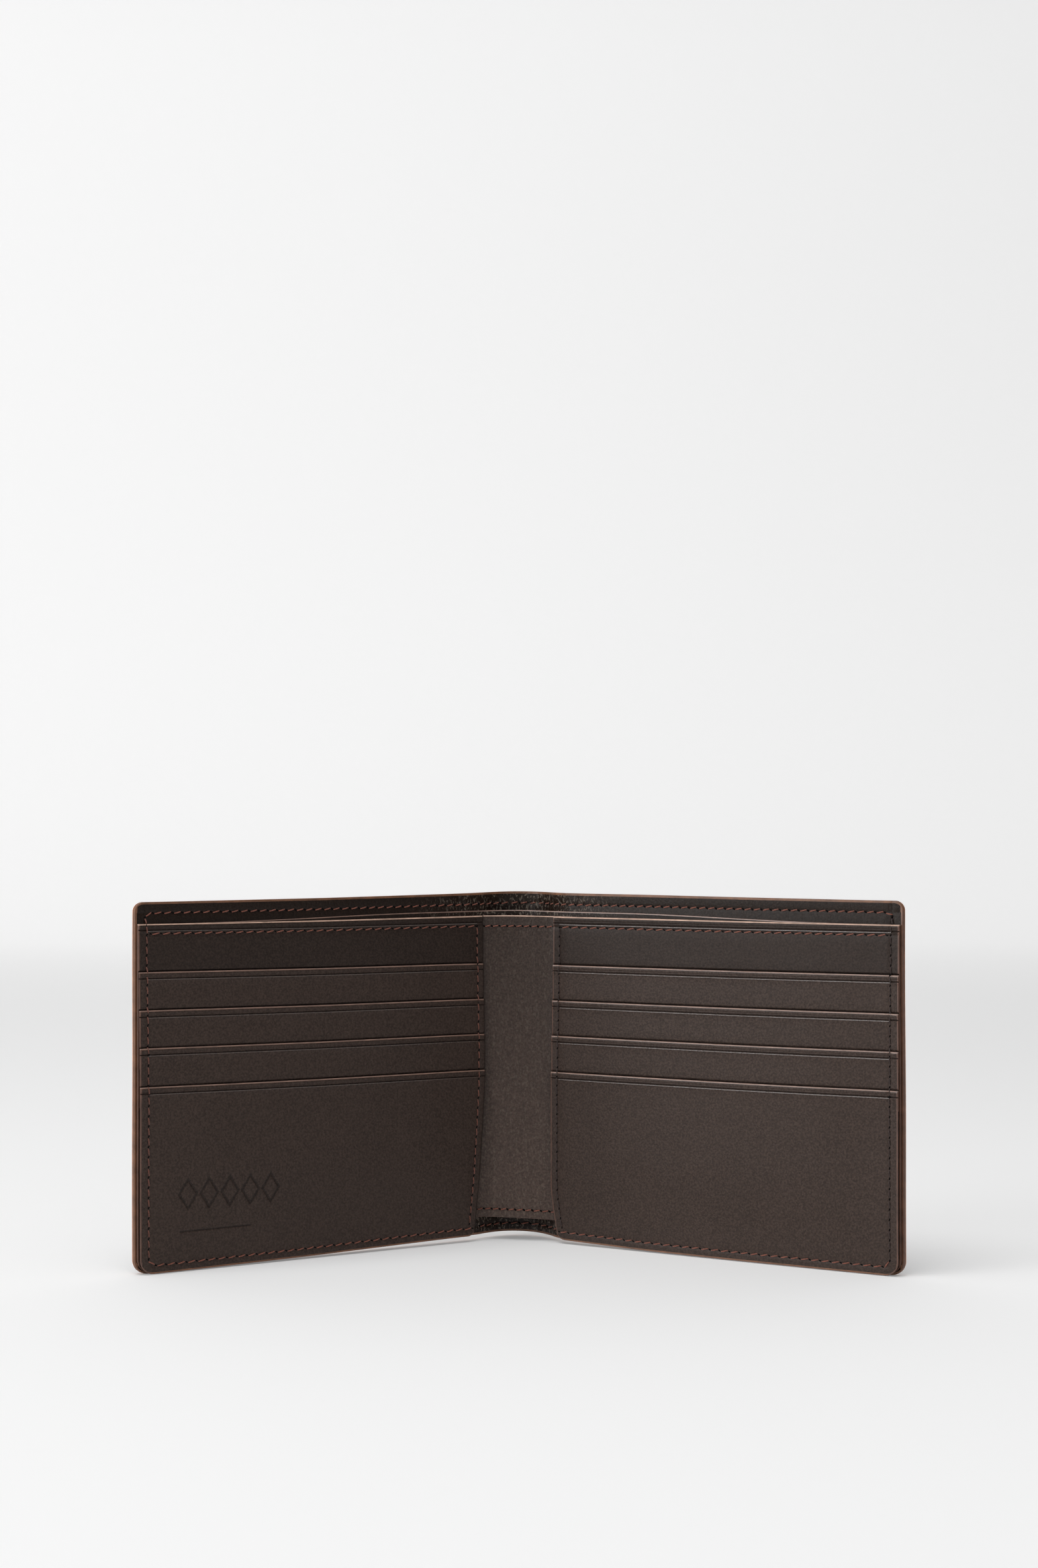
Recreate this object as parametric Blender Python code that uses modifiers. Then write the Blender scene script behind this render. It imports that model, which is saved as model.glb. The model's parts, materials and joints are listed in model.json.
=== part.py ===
"""Bifold wallet, standing open on its long edge, as separate leather, board, fabric and thread pieces.

The wallet has three bodies: the spine, and a left and a right half that fold on two upright axes.
The soft spine stands turned, so that the left half is folded further than the right half.
A place on a half is given by three distances, all in metres:
    reach   along the half, outward from its fold axis
    height  above the edge that the wallet stands on
    depth   through the layers, from the outer face of the cover towards the card pockets
A place on the spine is given in plan, from the middle between the fold axes: +X towards the right axis, +Y back.
"""

import math

import bmesh
import bpy
from mathutils import Vector

MM = 0.001

# Whole wallet
HEIGHT = 90.0 * MM
HALF_ANGLE = math.radians(33.0)     # each half, forward of the X axis
SPINE_TURN = math.radians(20.0)     # the spine, clockwise from above
OUTER_REACH = 104.9 * MM
CORNER_RADIUS = 3.5 * MM

# Fold axes
AXIS_SPACING = 9.6 * MM
AXIS_DEPTH = 2.8 * MM               # from the outer face of the cover
COVER_START = 6.2 * MM              # where the stiff part of the cover begins
LAYER_START = 6.9 * MM              # where every other layer of a half begins

# Layers of one half: (lowest depth, highest depth)
SHELL = (0.0 * MM, 1.3 * MM)
REINFORCEMENT = (1.4 * MM, 1.7 * MM)
LINING = (1.8 * MM, 2.2 * MM)
DIVIDER = (2.6 * MM, 3.0 * MM)
INNER_WALL = (3.3 * MM, 3.7 * MM)
BACKING = (3.8 * MM, 4.2 * MM)
POCKET_THICKNESS = 0.4 * MM
POCKET_PITCH = 0.5 * MM             # one pocket lies this far in front of the next
FABRIC_THICKNESS = 0.15 * MM

# Heights
PANEL_TOP = 84.4 * MM
DIVIDER_TOP = 85.6 * MM
POCKET_TOPS = (72.4 * MM, 63.1 * MM, 53.9 * MM, 44.5 * MM)
POCKET_FLOORS = (28.0 * MM, 18.5 * MM, 9.5 * MM)
POCKET_OVERLAP = 5.0 * MM           # leather strip that continues behind the next pocket
LINING_INSET = 5.0 * MM             # side margin of the fabric pocket linings
REINFORCEMENT_INSET = 4.0 * MM      # margin of the board inside the seams
PIECE_GAP = 0.2 * MM

# Spine: its cover and lining wrap the two fold axes at a constant distance
SPINE_RADIUS = 5.4 * MM             # middle of the cover's leather, from the nearer fold axis
SHELL_END_ANGLES = (math.radians(20.0), math.radians(8.0))      # past the axes, left and right
LINING_END_ANGLES = (math.radians(17.0), math.radians(5.0))
BRIDGE_ENDS = ((-8.0 * MM, -4.5 * MM), (10.3 * MM, -2.1 * MM))
BRIDGE_SAG = 0.6 * MM               # how far its middle lies behind the line between its ends
BRIDGE_FLOOR = 5.2 * MM
DIVIDER_ENDS = ((-8.7 * MM, -3.5 * MM), (10.6 * MM, -1.0 * MM))
DIVIDER_SAG = 0.2 * MM
ARC_STEPS = 10

# Seams
THREAD_RADIUS = 0.15 * MM
THREAD_LIFT = 0.2 * MM              # thread centre above the leather
SIDE_MARGIN = 2.2 * MM
INNER_MARGIN = 1.9 * MM
BOTTOM_MARGIN = 2.2 * MM
PANEL_TOP_MARGIN = 2.5 * MM
COVER_TOP_MARGIN = 2.8 * MM
HEM_MARGIN = 2.2 * MM
SEAM_CLEARANCE = 0.6 * MM           # between two rows that would cross

# Extents in plan from the middle between the fold axes; the origin lies below the middle of the bounding box
FRONT_DEPTH = BACKING[1] + len(POCKET_TOPS) * POCKET_PITCH
AXIS_RISE = AXIS_SPACING / 2 * math.sin(SPINE_TURN)
FRONT_LAYERS = (FRONT_DEPTH - AXIS_DEPTH) * math.cos(HALF_ANGLE)
FRONT_EXTENT = AXIS_RISE + OUTER_REACH * math.sin(HALF_ANGLE) + FRONT_LAYERS
BACK_EXTENT = AXIS_RISE + SPINE_RADIUS + (SHELL[1] - SHELL[0]) / 2
SPINE_Y = (FRONT_EXTENT - BACK_EXTENT) / 2

SIDES = {"left": -1, "right": 1}


def clear_scene():
    for item in list(bpy.data.objects):
        bpy.data.objects.remove(item, do_unlink=True)


def make_collection(name):
    collection = bpy.data.collections.new(name)
    bpy.context.scene.collection.children.link(collection)
    return collection


def make_material(name, color, roughness):
    material = bpy.data.materials.new(name)
    material.use_nodes = True
    shader = material.node_tree.nodes["Principled BSDF"]
    shader.inputs["Base Color"].default_value = (*color, 1.0)
    shader.inputs["Roughness"].default_value = roughness
    shader.inputs["Metallic"].default_value = 0.0
    material.diffuse_color = (*color, 1.0)
    return material


def add_object(name, data, material, parent):
    """Link an object for one sub-part, with a material of its own."""
    data.materials.append(material.copy())
    item = bpy.data.objects.new(name, data)
    wallet.objects.link(item)
    item.parent = parent
    return item


def make_axis(name, location, turn):
    """Upright empty; its children are modelled along its own X and Y axes."""
    axis = bpy.data.objects.new(name, None)
    wallet.objects.link(axis)
    axis.location = location
    axis.rotation_euler = (0.0, 0.0, turn)
    return axis


def make_fold(name, sign):
    """Empty on a fold axis, turned so that its half lies along its X axis."""
    offset = sign * AXIS_SPACING / 2
    place = (offset * math.cos(SPINE_TURN), SPINE_Y - offset * math.sin(SPINE_TURN), 0.0)
    return make_axis(name, place, -sign * HALF_ANGLE)


def half_point(sign, reach, height, depth):
    return Vector((sign * reach, AXIS_DEPTH - depth, height))


def round_corners(mesh, outer_x, heights, radius):
    """Round the corners of a sheet that stand at its outer end, at the given heights."""
    corners = []
    for edge in mesh.edges:
        first, second = (vertex.co for vertex in edge.verts)
        through_sheet = abs(first.y - second.y) > 1e-6
        at_outer_end = abs(first.x - outer_x) < 1e-6
        at_height = any(abs(first.z - height) < 1e-6 for height in heights)
        if through_sheet and at_outer_end and at_height:
            corners.append(edge)
    bmesh.ops.bevel(mesh, geom=corners, offset=radius, segments=5, profile=0.5, affect="EDGES")


def add_sheet(name, side, reaches, heights, depths, material, rounded=(), bevel=0.0):
    """Flat sheet in the layers of one half, with rounded outer corners at the heights in rounded."""
    sign = SIDES[side]
    low = half_point(sign, reaches[0], heights[0], depths[0])
    high = half_point(sign, reaches[1], heights[1], depths[1])
    size = [abs(b - a) for a, b in zip(low, high)]
    mesh = bmesh.new()
    bmesh.ops.create_cube(mesh, size=1.0)
    bmesh.ops.scale(mesh, vec=size, verts=mesh.verts)
    bmesh.ops.translate(mesh, vec=(low + high) / 2, verts=mesh.verts)
    if rounded:
        round_corners(mesh, sign * reaches[1], rounded, CORNER_RADIUS)
    data = bpy.data.meshes.new(name)
    mesh.to_mesh(data)
    mesh.free()
    item = add_object(f"{name}_{side}", data, material, folds[side])
    if bevel:
        edge = item.modifiers.new("edge", "BEVEL")
        edge.width = bevel
        edge.segments = 2
        edge.limit_method = "ANGLE"
        edge.angle_limit = math.radians(60.0)
    return item


def add_ribbon(name, points, heights, thickness, material):
    """Sheet that stands upright on a plan-view line of points and is closed by a Solidify modifier."""
    curve = bpy.data.curves.new(name, "CURVE")
    curve.dimensions = "2D"
    curve.fill_mode = "NONE"
    curve.extrude = (heights[1] - heights[0]) / 2
    spline = curve.splines.new("POLY")
    spline.points.add(len(points) - 1)
    for target, (x, y) in zip(spline.points, points):
        target.co = (x, y, 0.0, 1.0)
    item = add_object(name, curve, material, spine)
    item.location = (0.0, 0.0, (heights[0] + heights[1]) / 2)
    solid = item.modifiers.new("thickness", "SOLIDIFY")
    solid.thickness = thickness
    solid.offset = 0.0
    return item


def add_seam(name, points, parent):
    """One row of stitching, as a thread that lies on the leather along its points."""
    curve = bpy.data.curves.new(name, "CURVE")
    curve.dimensions = "3D"
    curve.bevel_depth = THREAD_RADIUS
    curve.bevel_resolution = 2
    curve.use_fill_caps = True
    spline = curve.splines.new("POLY")
    spline.points.add(len(points) - 1)
    for target, point in zip(spline.points, points):
        target.co = (*point, 1.0)
    return add_object(name, curve, thread, parent)


def wrap_points(radius, end_angles):
    """Plan-view points of a line that wraps both fold axes at a radius, from the left end to the right end."""
    points = []
    for sign, end_angle in zip((-1, 1), end_angles):
        side = []
        for step in range(ARC_STEPS + 1):
            angle = (math.pi / 2 + end_angle) * step / ARC_STEPS
            x = sign * (AXIS_SPACING / 2 + radius * math.sin(angle))
            side.append((x, radius * math.cos(angle)))
        points += side if sign > 0 else side[::-1]
    return points


def sagging_points(ends, sag):
    """Plan-view points of a shallow curve between two ends, with its middle further back."""
    (x0, y0), (x1, y1) = ends
    points = []
    for step in range(ARC_STEPS + 1):
        along = step / ARC_STEPS
        bow = 4 * along * (1 - along)
        points.append((x0 + (x1 - x0) * along, y0 + (y1 - y0) * along + sag * bow))
    return points


def shifted(points, forward, height):
    return [(x, y - forward, height) for x, y in points]


def surface_depth(height):
    """Depth of the face that shows at a height on a half."""
    if height > DIVIDER_TOP:
        return LINING[1]
    if height > PANEL_TOP:
        return DIVIDER[1]
    pockets_below = sum(1 for top in POCKET_TOPS if height < top)
    return BACKING[1] + pockets_below * POCKET_PITCH


def upright_row(sign, reach, low, high):
    """Points of an upright seam that steps over the edge of each layer between two heights."""
    edges = [top for top in (*POCKET_TOPS, PANEL_TOP, DIVIDER_TOP) if low < top < high]
    heights = [low]
    for edge in sorted(edges):
        heights += [edge + PIECE_GAP, edge + 2 * PIECE_GAP + THREAD_RADIUS]
    heights.append(high)
    points = []
    for number, height in enumerate(heights):
        below_edge = number % 2 == 1 and number < len(heights) - 1
        face = surface_depth(height - 2 * PIECE_GAP if below_edge else height)
        points.append(half_point(sign, reach, height, face + THREAD_LIFT))
    return points


def level_row(sign, reaches, height):
    depth = surface_depth(height) + THREAD_LIFT
    return [half_point(sign, reach, height, depth) for reach in reaches]


def build_cover(side):
    """Outer leather, board and lining of one half."""
    corners = (0.0, HEIGHT)
    inset = REINFORCEMENT_INSET
    board_reach = (LAYER_START + inset, OUTER_REACH - inset)
    add_sheet("cover_shell", side, (COVER_START, OUTER_REACH), (0.0, HEIGHT), SHELL, cover_leather, corners, 0.25 * MM)
    add_sheet("cover_reinforcement", side, board_reach, (inset, HEIGHT - inset), REINFORCEMENT, board)
    add_sheet("cover_lining", side, (LAYER_START, OUTER_REACH), (0.0, HEIGHT), LINING, lining_leather, corners)


def build_bill_walls(side):
    """Divider and front wall of the banknote compartments of one half."""
    reaches = (LAYER_START, OUTER_REACH)
    add_sheet("bill_divider", side, reaches, (0.0, DIVIDER_TOP), DIVIDER, lining_leather, (0.0,))
    add_sheet("inner_wall", side, reaches, (0.0, PANEL_TOP), INNER_WALL, lining_leather, (0.0,))
    add_sheet("card_backing", side, reaches, (0.0, PANEL_TOP), BACKING, pocket_leather, (0.0,))


def build_pockets(side):
    """Three stepped pocket strips with their fabric linings, and the tall front pocket."""
    reaches = (LAYER_START, OUTER_REACH)
    fabric_reaches = (LAYER_START + LINING_INSET, OUTER_REACH - LINING_INSET)
    for number, top in enumerate(POCKET_TOPS):
        depth = BACKING[1] + PIECE_GAP / 2 + number * POCKET_PITCH
        leather = (depth, depth + POCKET_THICKNESS)
        if number == len(POCKET_FLOORS):
            add_sheet("front_pocket", side, reaches, (0.0, top), leather, pocket_leather, (0.0,))
            continue
        strip_floor = POCKET_TOPS[number + 1] - POCKET_OVERLAP
        fabric = (depth, depth + FABRIC_THICKNESS)
        fabric_heights = (POCKET_FLOORS[number], strip_floor - PIECE_GAP)
        add_sheet(f"card_pocket_{number + 1}", side, reaches, (strip_floor, top), leather, pocket_leather)
        add_sheet(f"pocket_lining_{number + 1}", side, fabric_reaches, fabric_heights, fabric, fabric_cloth)


def build_half_seams(side):
    """Rows of stitching on one half."""
    sign = SIDES[side]
    fold = folds[side]
    side_reach = OUTER_REACH - SIDE_MARGIN
    inner_reach = LAYER_START + INNER_MARGIN
    bottom = BOTTOM_MARGIN
    panel_top = PANEL_TOP - PANEL_TOP_MARGIN
    cover_top = HEIGHT - COVER_TOP_MARGIN
    low = bottom + SEAM_CLEARANCE
    inner_reaches = (LAYER_START + PIECE_GAP, side_reach - SEAM_CLEARANCE)
    add_seam(f"side_seam_{side}", upright_row(sign, side_reach, low, cover_top), fold)
    add_seam(f"inner_seam_{side}", upright_row(sign, inner_reach, low, panel_top - SEAM_CLEARANCE), fold)
    add_seam(f"bottom_seam_{side}", level_row(sign, (LAYER_START + PIECE_GAP, side_reach), bottom), fold)
    add_seam(f"panel_top_seam_{side}", level_row(sign, inner_reaches, panel_top), fold)
    add_seam(f"cover_top_seam_{side}", level_row(sign, inner_reaches, cover_top), fold)


def build_spine():
    """Cover, lining, divider and bridge where the wallet folds, with their seams."""
    shell_thickness = SHELL[1] - SHELL[0]
    lining_thickness = LINING[1] - LINING[0]
    divider_thickness = DIVIDER[1] - DIVIDER[0]
    wall_thickness = INNER_WALL[1] - INNER_WALL[0]
    lining_radius = SPINE_RADIUS - shell_thickness / 2 - PIECE_GAP / 2 - lining_thickness / 2
    thread_radius = lining_radius - lining_thickness / 2 - THREAD_LIFT
    divider = sagging_points(DIVIDER_ENDS, DIVIDER_SAG)
    bridge = sagging_points(BRIDGE_ENDS, BRIDGE_SAG)
    bridge_thread = wall_thickness / 2 + THREAD_LIFT
    full = (0.0, HEIGHT)
    shell = wrap_points(SPINE_RADIUS, SHELL_END_ANGLES)
    lining = wrap_points(lining_radius, LINING_END_ANGLES)
    row = wrap_points(thread_radius, LINING_END_ANGLES)
    add_ribbon("cover_shell_spine", shell, full, shell_thickness, cover_leather)
    add_ribbon("cover_lining_spine", lining, full, lining_thickness, lining_leather)
    add_ribbon("bill_divider_spine", divider, (BRIDGE_FLOOR, DIVIDER_TOP), divider_thickness, lining_leather)
    add_ribbon("bridge", bridge, (BRIDGE_FLOOR, PANEL_TOP), wall_thickness, pocket_leather)
    add_seam("spine_top_seam", shifted(row, 0.0, HEIGHT - COVER_TOP_MARGIN), spine)
    add_seam("spine_bottom_seam", shifted(row, 0.0, BOTTOM_MARGIN), spine)
    add_seam("bridge_top_seam", shifted(bridge, bridge_thread, PANEL_TOP - PANEL_TOP_MARGIN), spine)
    add_seam("bridge_hem_seam", shifted(bridge, bridge_thread, BRIDGE_FLOOR + HEM_MARGIN), spine)


clear_scene()
wallet = make_collection("bifold_wallet")
cover_leather = make_material("cover_leather", (0.030, 0.021, 0.017), 0.50)
lining_leather = make_material("lining_leather", (0.022, 0.016, 0.014), 0.40)
pocket_leather = make_material("pocket_leather", (0.038, 0.028, 0.024), 0.50)
board = make_material("board", (0.300, 0.200, 0.120), 0.90)
fabric_cloth = make_material("fabric", (0.030, 0.020, 0.016), 0.85)
thread = make_material("thread", (0.120, 0.045, 0.030), 0.60)

spine = make_axis("spine_axis", (0.0, SPINE_Y, 0.0), -SPINE_TURN)
folds = {side: make_fold(f"{side}_fold_axis", sign) for side, sign in SIDES.items()}

build_spine()
for half in SIDES:
    build_cover(half)
    build_bill_walls(half)
    build_pockets(half)
    build_half_seams(half)
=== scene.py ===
"""Bifold wallet standing open on a pale floor: leather, thread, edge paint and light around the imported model.

A place on a half is given by three distances, in metres:
    a      from the outer edge of the half towards the spine
    z      above the edge that the wallet stands on
    depth  through the layers, from the cover's outer face towards the card pockets
"""

import json
import math

import bpy
import numpy as np
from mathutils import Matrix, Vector


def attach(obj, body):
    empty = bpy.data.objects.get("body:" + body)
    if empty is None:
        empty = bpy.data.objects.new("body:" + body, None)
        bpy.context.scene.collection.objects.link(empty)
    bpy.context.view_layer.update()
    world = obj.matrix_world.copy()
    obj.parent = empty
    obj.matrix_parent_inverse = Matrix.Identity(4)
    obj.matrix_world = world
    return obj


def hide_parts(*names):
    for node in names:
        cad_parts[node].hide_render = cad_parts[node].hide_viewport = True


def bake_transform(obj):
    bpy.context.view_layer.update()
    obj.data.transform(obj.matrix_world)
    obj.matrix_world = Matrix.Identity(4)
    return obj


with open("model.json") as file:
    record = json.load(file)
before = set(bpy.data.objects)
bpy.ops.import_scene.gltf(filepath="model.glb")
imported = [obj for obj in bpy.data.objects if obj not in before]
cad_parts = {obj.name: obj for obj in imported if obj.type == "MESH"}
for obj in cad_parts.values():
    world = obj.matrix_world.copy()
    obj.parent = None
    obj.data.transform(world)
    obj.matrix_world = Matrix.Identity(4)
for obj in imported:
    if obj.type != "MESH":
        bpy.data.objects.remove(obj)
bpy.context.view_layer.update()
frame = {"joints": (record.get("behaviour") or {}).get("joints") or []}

MM = 0.001

# Wallet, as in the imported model
HEIGHT = 90.0 * MM
HALF_ANGLE = math.radians(33.0)
OUTER_REACH = 104.9 * MM
LAYER_START = 6.9 * MM
PANEL_WIDTH = OUTER_REACH - LAYER_START
AXIS_DEPTH = 2.8 * MM
CORNER_RADIUS = 3.5 * MM
TOP_CORNER_RADIUS = 2.4 * MM
INNER_CORNER_RADIUS = 2.0 * MM
FLARE = {"left": 3.3 * MM, "right": 1.9 * MM}
FLARE_HEIGHT = {"left": 50 * MM, "right": 14 * MM}
COVER_REACH = OUTER_REACH + 0.3 * MM
PANEL_OUTER_REACH = OUTER_REACH - 0.3 * MM
PANEL_INNER_REACH = {"left": 5.4 * MM, "right": 6.0 * MM}
PANEL_TOP = 84.4 * MM
DIVIDER_TOP = 85.6 * MM
POCKET_TOPS = (72.4 * MM, 63.1 * MM, 53.9 * MM, 44.5 * MM)
POCKET_FLOORS = (28.0 * MM, 18.5 * MM, 9.5 * MM)
POCKET_OVERLAP = 5.0 * MM
BRIDGE_FLOOR = 5.4 * MM

# Layers: depth of the face towards the pockets when free, pinched by the outer seams, pinched by the
# panel's inner seam; and thickness
LAYERS = {
    layer: tuple(MM * value for value in row)
    for layer, row in {
        "shell": (1.30, 1.30, 1.30, 1.30),
        "board": (1.55, 1.50, 1.55, 0.22),
        "lining": (1.98, 1.76, 1.98, 0.40),
        "divider": (2.34, 2.07, 2.34, 0.29),
        "wall": (2.70, 2.38, 2.70, 0.30),
        "backing": (3.08, 2.72, 3.04, 0.33),
        "pocket_1": (3.47, 3.04, 3.37, 0.31),
        "pocket_2": (3.85, 3.34, 3.70, 0.31),
        "pocket_3": (4.23, 3.62, 4.02, 0.31),
        "pocket_4": (4.62, 3.92, 4.36, 0.34),
    }.items()
}
PINCH_START = 2.4 * MM
PINCH_END = 24.0 * MM

# Seams
LEVEL_PITCH = 2.8 * MM
UPRIGHT_PITCH = 2.5 * MM
COVER_TOP_PITCH = 2.6 * MM
BRIDGE_PITCH = 2.2 * MM
STITCH_SHARE = 0.74
THREAD_RADIUS = 0.16 * MM
SIDE_MARGIN = 2.2 * MM
COVER_SIDE_MARGIN = SIDE_MARGIN + COVER_REACH - PANEL_OUTER_REACH
INNER_MARGIN = 1.9 * MM
BOTTOM_MARGIN = 2.2 * MM
PANEL_TOP_MARGIN = 2.5 * MM
COVER_TOP_MARGIN = 2.8 * MM
HEM_MARGIN = 2.2 * MM
HEM_DROP = 0.65 * MM
CREASE_DROP = 1.6 * MM
LIP_DROP = CREASE_DROP + 0.26 * MM
LIP_REACH = 0.10 * MM
CREASE_REACH = 0.13 * MM
MOUTH_REACH = 0.28 * MM

SIGNS = {"left": -1.0, "right": 1.0}
AXES = {joint["name"].split("_")[0]: np.array(joint["pos_m"][:2]) for joint in frame["joints"]}
MIDDLE = (AXES["left"] + AXES["right"]) / 2


# ---- plan curves

def travelled(points):
    """Distance along a line at each of its points."""
    return np.concatenate([[0.0], np.cumsum(np.linalg.norm(np.diff(points, axis=0), axis=1))])


def unit(vectors):
    return vectors / np.linalg.norm(vectors, axis=-1, keepdims=True)


def sampled(where, distance, values):
    """Values of a line at some distances along it."""
    return np.stack([np.interp(where, distance, column) for column in values.T], -1)


def smooth(value, low, high):
    t = np.clip((value - low) / (high - low), 0.0, 1.0)
    return t * t * (3 - 2 * t)


def spine_place(point):
    """Plan position of a point given in millimetres from the middle between the fold axes."""
    return MIDDLE + MM * np.array(point)


def half_plan(side, reach, depth):
    """Plan position on a flat half."""
    sign = SIGNS[side]
    forward = depth - AXIS_DEPTH
    x = AXES[side][0] + sign * (reach * math.cos(HALF_ANGLE) - forward * math.sin(HALF_ANGLE))
    y = AXES[side][1] - reach * math.sin(HALF_ANGLE) - forward * math.cos(HALF_ANGLE)
    return np.stack([x, y], -1)


class PlanCurve:
    """Line that a sheet stands on, from the outer edge of one half to that of the other.

    joins are the last reaches at which it lies on each half. s is the distance along the line from the
    point nearest to split, positive to the right.
    """

    FLAT_REACHES = [70 * MM, 40 * MM, 24 * MM]
    PLACES_PER_SPAN = 60
    STEP = 0.1 * MM
    SOFTNESS = 0.8 * MM

    def __init__(self, outer_reach, layer, joins, spine_points, split):
        self.depth = LAYERS[layer][0]
        self.split = split
        ends = {}
        for side in SIGNS:
            reaches = [outer_reach] + self.FLAT_REACHES + joins[side]
            ends[side] = [half_plan(side, reach, self.depth) for reach in reaches]
        knots = ends["left"] + [spine_place(point) for point in spine_points] + ends["right"][::-1]
        line = self.soften(self.resample(self.through(np.array(knots))))
        distance = travelled(line)
        nearest = np.argmin(np.linalg.norm(line - spine_place(split), axis=1))
        self.s = distance - distance[nearest]
        self.line = line
        tangent = unit(np.gradient(line, self.s, axis=0))
        self.front = np.stack([tangent[:, 1], -tangent[:, 0]], -1)
        self.length = {"left": -self.s[0], "right": self.s[-1]}

    @classmethod
    def through(cls, knots):
        """Smooth line through the knots: a cubic between each two, with shared slopes."""
        chord = travelled(knots)
        slope = np.gradient(knots, chord, axis=0)
        t = np.linspace(0, 1, cls.PLACES_PER_SPAN, endpoint=False)[:, None]
        places = []
        for i, width in enumerate(np.diff(chord)):
            places.append(
                (2 * t**3 - 3 * t**2 + 1) * knots[i] + (t**3 - 2 * t**2 + t) * width * slope[i]
                + (3 * t**2 - 2 * t**3) * knots[i + 1] + (t**3 - t**2) * width * slope[i + 1]
            )
        return np.concatenate(places + [knots[-1:]])

    def resample(self, line):
        distance = travelled(line)
        even = np.linspace(0, distance[-1], int(distance[-1] / self.STEP))
        return sampled(even, distance, line)

    def soften(self, line):
        """Line with its corners rounded, and its ends kept in place."""
        reach = int(3 * self.SOFTNESS / self.STEP)
        kernel = np.exp(-0.5 * (np.arange(-reach, reach + 1) * self.STEP / self.SOFTNESS) ** 2)
        kernel /= kernel.sum()
        before = line[0] + (line[0] - line[1]) * np.arange(reach, 0, -1)[:, None]
        after = line[-1] + (line[-1] - line[-2]) * np.arange(1, reach + 1)[:, None]
        padded = np.concatenate([before, line, after])
        return np.stack([np.convolve(column, kernel, "valid") for column in padded.T], -1)

    def at(self, s, depth, back=0.0):
        """Plan position at distance s and depth, moved back by a further distance."""
        front = unit(sampled(s, self.s, self.front))
        place = sampled(s, self.s, self.line) + front * (depth - self.depth)[..., None]
        place[..., 1] += back
        return place

    def past_panel(self, side):
        """Distance along the curve from the card panel's inner edge to the middle of the spine."""
        edge = half_plan(side, PANEL_INNER_REACH[side], self.depth)
        return abs(self.s[np.argmin(np.linalg.norm(self.line - edge, axis=1))])


# Curves across the spine, in millimetres from the middle between the fold axes; at the split the left and
# the right piece of a sheet meet
COVER_SPLIT = (0.6, 5.9)
COVER_SPINE = [(-10.3, -0.9), (-7.6, 2.2), (-4.2, 4.9), COVER_SPLIT, (5.2, 4.3), (8.2, 0.8), (10.5, -3.6)]
COVER_JOINS = {side: [16 * MM, 11.5 * MM] for side in SIGNS}
WALL_SPLIT = (-0.6, -2.2)
WALL_SPINE = [(-6.2, -1.15), WALL_SPLIT, (5.6, -3.55)]
WALL_JOINS = {"left": [14 * MM, 8 * MM, 5.0 * MM], "right": [14 * MM, 8 * MM, 5.6 * MM]}
DIVIDER_SPLIT = (-0.4, 0.6)
DIVIDER_SPINE = [(-5.4, 0.35), DIVIDER_SPLIT, (5.4, -1.5)]
DIVIDER_JOINS = {"left": [15 * MM, 9 * MM, 5.4 * MM], "right": [15 * MM, 9 * MM, 6.0 * MM]}
cover_line = PlanCurve(COVER_REACH, "lining", COVER_JOINS, COVER_SPINE, COVER_SPLIT)
wall_line = PlanCurve(PANEL_OUTER_REACH, "wall", WALL_JOINS, WALL_SPINE, WALL_SPLIT)
divider_line = PlanCurve(PANEL_OUTER_REACH, "divider", DIVIDER_JOINS, DIVIDER_SPINE, DIVIDER_SPLIT)

# Rise of the soft leather above the straight model, in millimetres, at places across the wallet
RISE_PLACES = (-110, -88, -50, -15, 0, 12, 33, 55, 88, 110)
RISE_FOOT = (0.0, 0.0, 0.5, 1.4, 1.35, 0.85, 0.2, 0.05, 0.0, 0.0)
RISE_WAIST = (1.0, 1.0, 0.6, 0.5, 0.3, 0.2, 0.2, 0.2, 0.4, 0.4)
RISE_TOP = (0.4, 0.4, 0.7, 1.3, 1.75, 1.45, 1.35, 1.1, 0.85, 0.85)
RISE_FOOT_END = 40 * MM
RISE_TOP_START = 76 * MM
RISE_TOP_END = 92 * MM
RISE_EASE = 8


def eased(values):
    """Rise table as a smooth line: its dense places and values, in metres."""
    dense = np.arange(RISE_PLACES[0], RISE_PLACES[-1] + 1)
    padded = np.pad(np.interp(dense, RISE_PLACES, values), RISE_EASE, mode="edge")
    kernel = np.hanning(2 * RISE_EASE + 3)[1:-1]
    return dense * MM, np.convolve(padded, kernel / kernel.sum(), "valid") * MM


rise_foot, rise_waist, rise_top = eased(RISE_FOOT), eased(RISE_WAIST), eased(RISE_TOP)


def risen(plan, z):
    """Points of a sheet from its plan places and heights, with the rise added."""
    across = plan[..., 0] - MIDDLE[0]
    foot = 1.0 - smooth(z, 0.0, RISE_FOOT_END)
    top = smooth(z, RISE_TOP_START, RISE_TOP_END)
    rise = foot * np.interp(across, *rise_foot) + top * np.interp(across, *rise_top)
    rise = rise + (1.0 - foot - top) * np.interp(across, *rise_waist)
    return np.concatenate([plan, (z + rise)[..., None]], -1)


SWELL = 0.13 * MM
SWELL_WAVES = (17 * MM, 21 * MM)
EDGE_SWELL = 0.10 * MM
EDGE_WAVE = 9 * MM
EDGE_REACH = 12 * MM
SWELL_PHASE = {"left": 0.7, "right": 2.1}
SWELL_START = 12 * MM
SWELL_FULL = 30 * MM


def swell(side, a, z, reach):
    """Gentle unevenness of a half, the same for all its layers, so that they stay clear of each other."""
    phase = SWELL_PHASE[side]
    slow = np.sin(a / SWELL_WAVES[0] + phase) * np.sin(z / SWELL_WAVES[1] + 2 * phase)
    edge = np.sin(z / EDGE_WAVE + 3 * phase) * np.exp(-a / EDGE_REACH)
    return (SWELL * slow + EDGE_SWELL * edge) * smooth(reach, SWELL_START, SWELL_FULL)


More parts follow.
